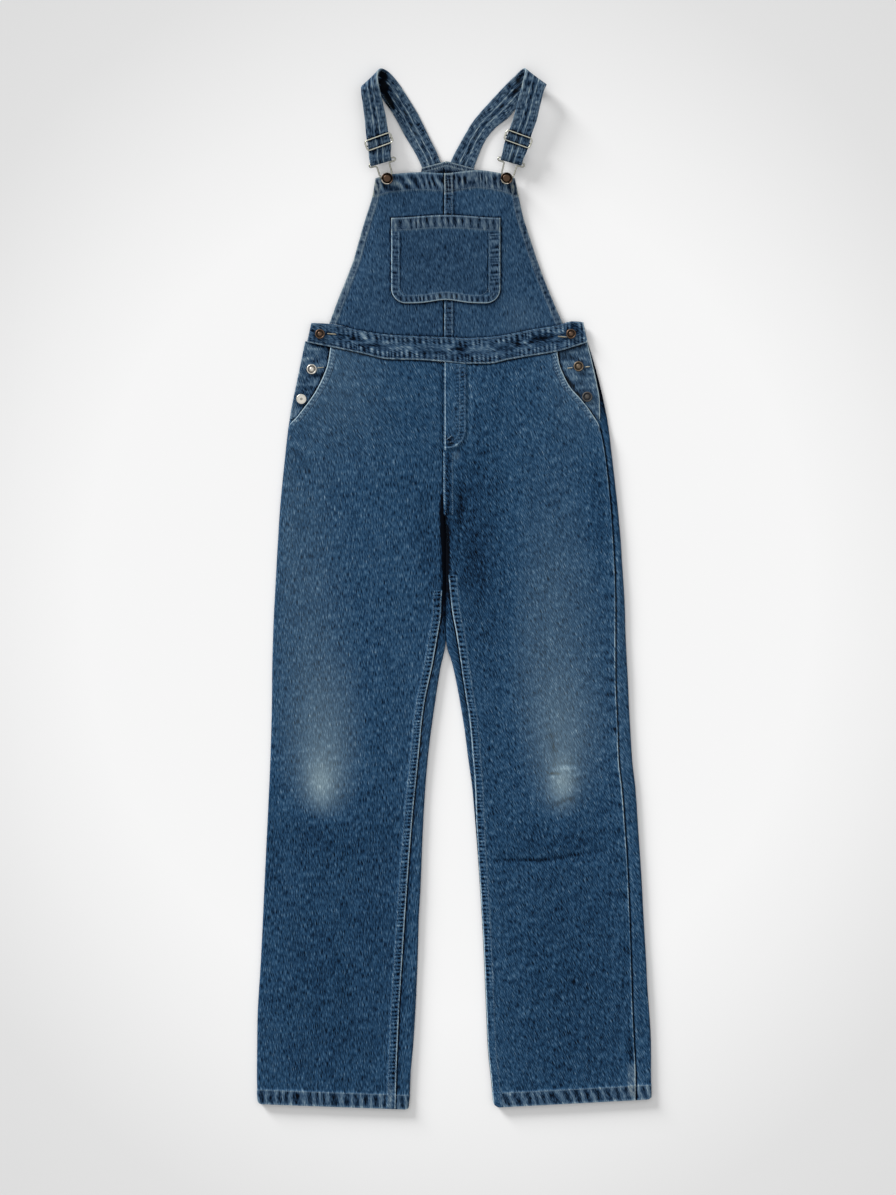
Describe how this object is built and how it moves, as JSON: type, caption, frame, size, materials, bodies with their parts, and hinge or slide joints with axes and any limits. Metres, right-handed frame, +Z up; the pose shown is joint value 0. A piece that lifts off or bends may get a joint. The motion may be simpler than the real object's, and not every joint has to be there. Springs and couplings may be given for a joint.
{
  "type": "denim dungarees laid flat",
  "caption": "Denim dungarees lying flat on their back: straight legs, waistband, bib with patch pocket, and shoulder straps with wire sliders and buckles.",
  "frame": {"origin": "on the surface that the garment lies on, below the middle of its outline", "axes": "+X to the right as seen from above, +Y from the hems towards the shoulder straps, +Z up, out of the garment's front"},
  "size_m": [0.5606, 1.4767, 0.0201],
  "materials": {
    "denim": "washed indigo twill, worn pale at edges, seams and knees",
    "strap_denim": "washed indigo twill, folded double and worn along its ridges",
    "wire": "round polished wire",
    "copper_button": "antique copper with a worn rim",
    "silver_button": "worn plated metal"
  },
  "bodies": {
    "root": {"back_leg_left": "denim", "back_leg_right": "denim", "bib_back": "denim", "bib_left": "denim", "bib_pocket": "denim", "bib_right": "denim", "buckle_left": "wire", "buckle_right": "wire", "button_bib_left": "copper_button", "button_bib_right": "copper_button", "button_hip_lower_left": "silver_button", "button_hip_lower_right": "copper_button", "button_hip_upper_left": "silver_button", "button_hip_upper_right": "copper_button", "button_waist_left": "copper_button", "button_waist_right": "copper_button", "fly": "denim", "front_leg_left": "denim", "front_leg_right": "denim", "hip_facing_left": "denim", "hip_facing_right": "denim", "slider_left": "wire", "slider_right": "wire", "strap_left": "strap_denim", "strap_right": "strap_denim", "waistband_back": "denim", "waistband_front": "denim", "yoke_facing": "denim"}
  },
  "joints": []
}
